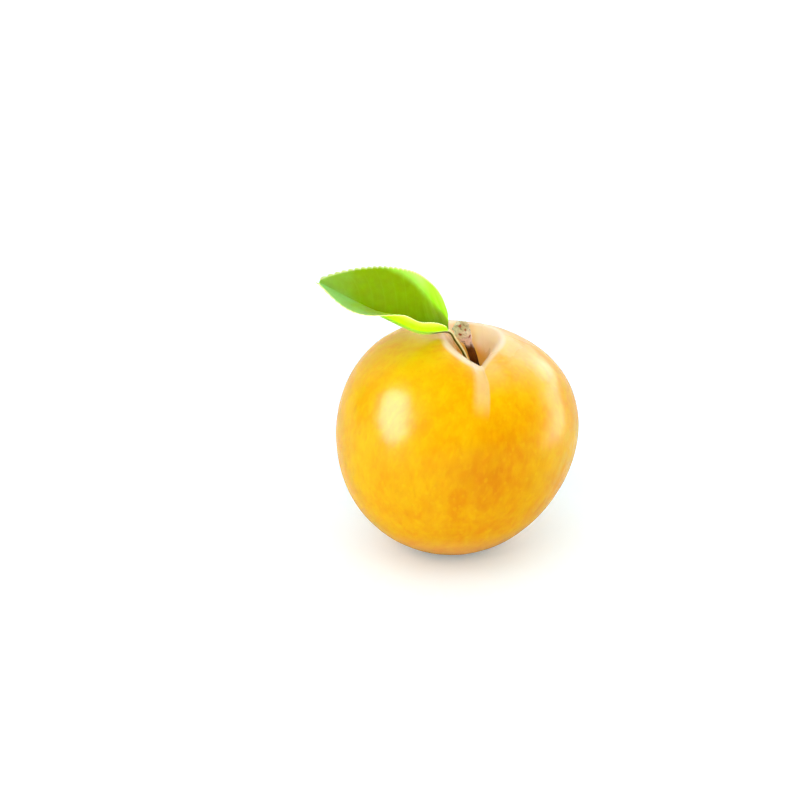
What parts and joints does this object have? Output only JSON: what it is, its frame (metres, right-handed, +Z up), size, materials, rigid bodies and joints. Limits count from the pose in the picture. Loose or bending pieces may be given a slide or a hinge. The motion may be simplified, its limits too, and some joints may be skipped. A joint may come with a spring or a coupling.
{
  "type": "plum",
  "caption": "Ripe yellow plum with a creased round body, a short woody stalk in its cavity and one folded leaf, resting on a small flat spot.",
  "frame": {"origin": "middle of the small flat spot under the fruit, on the surface that it rests on", "axes": "+Z up, -X towards the tip of the leaf, -Y towards the side with the crease"},
  "size_m": [0.0593, 0.053, 0.0692],
  "materials": {
    "skin": "satin fruit skin with pale bloom round the cavity",
    "stalk_wood": "rough bark, speckled at the head",
    "leaf_green": "smooth leaf with a soft sheen above and a paler underside"
  },
  "bodies": {
    "root": {"fruit": "skin", "stalk": "stalk_wood", "leaf": "leaf_green"}
  },
  "joints": []
}
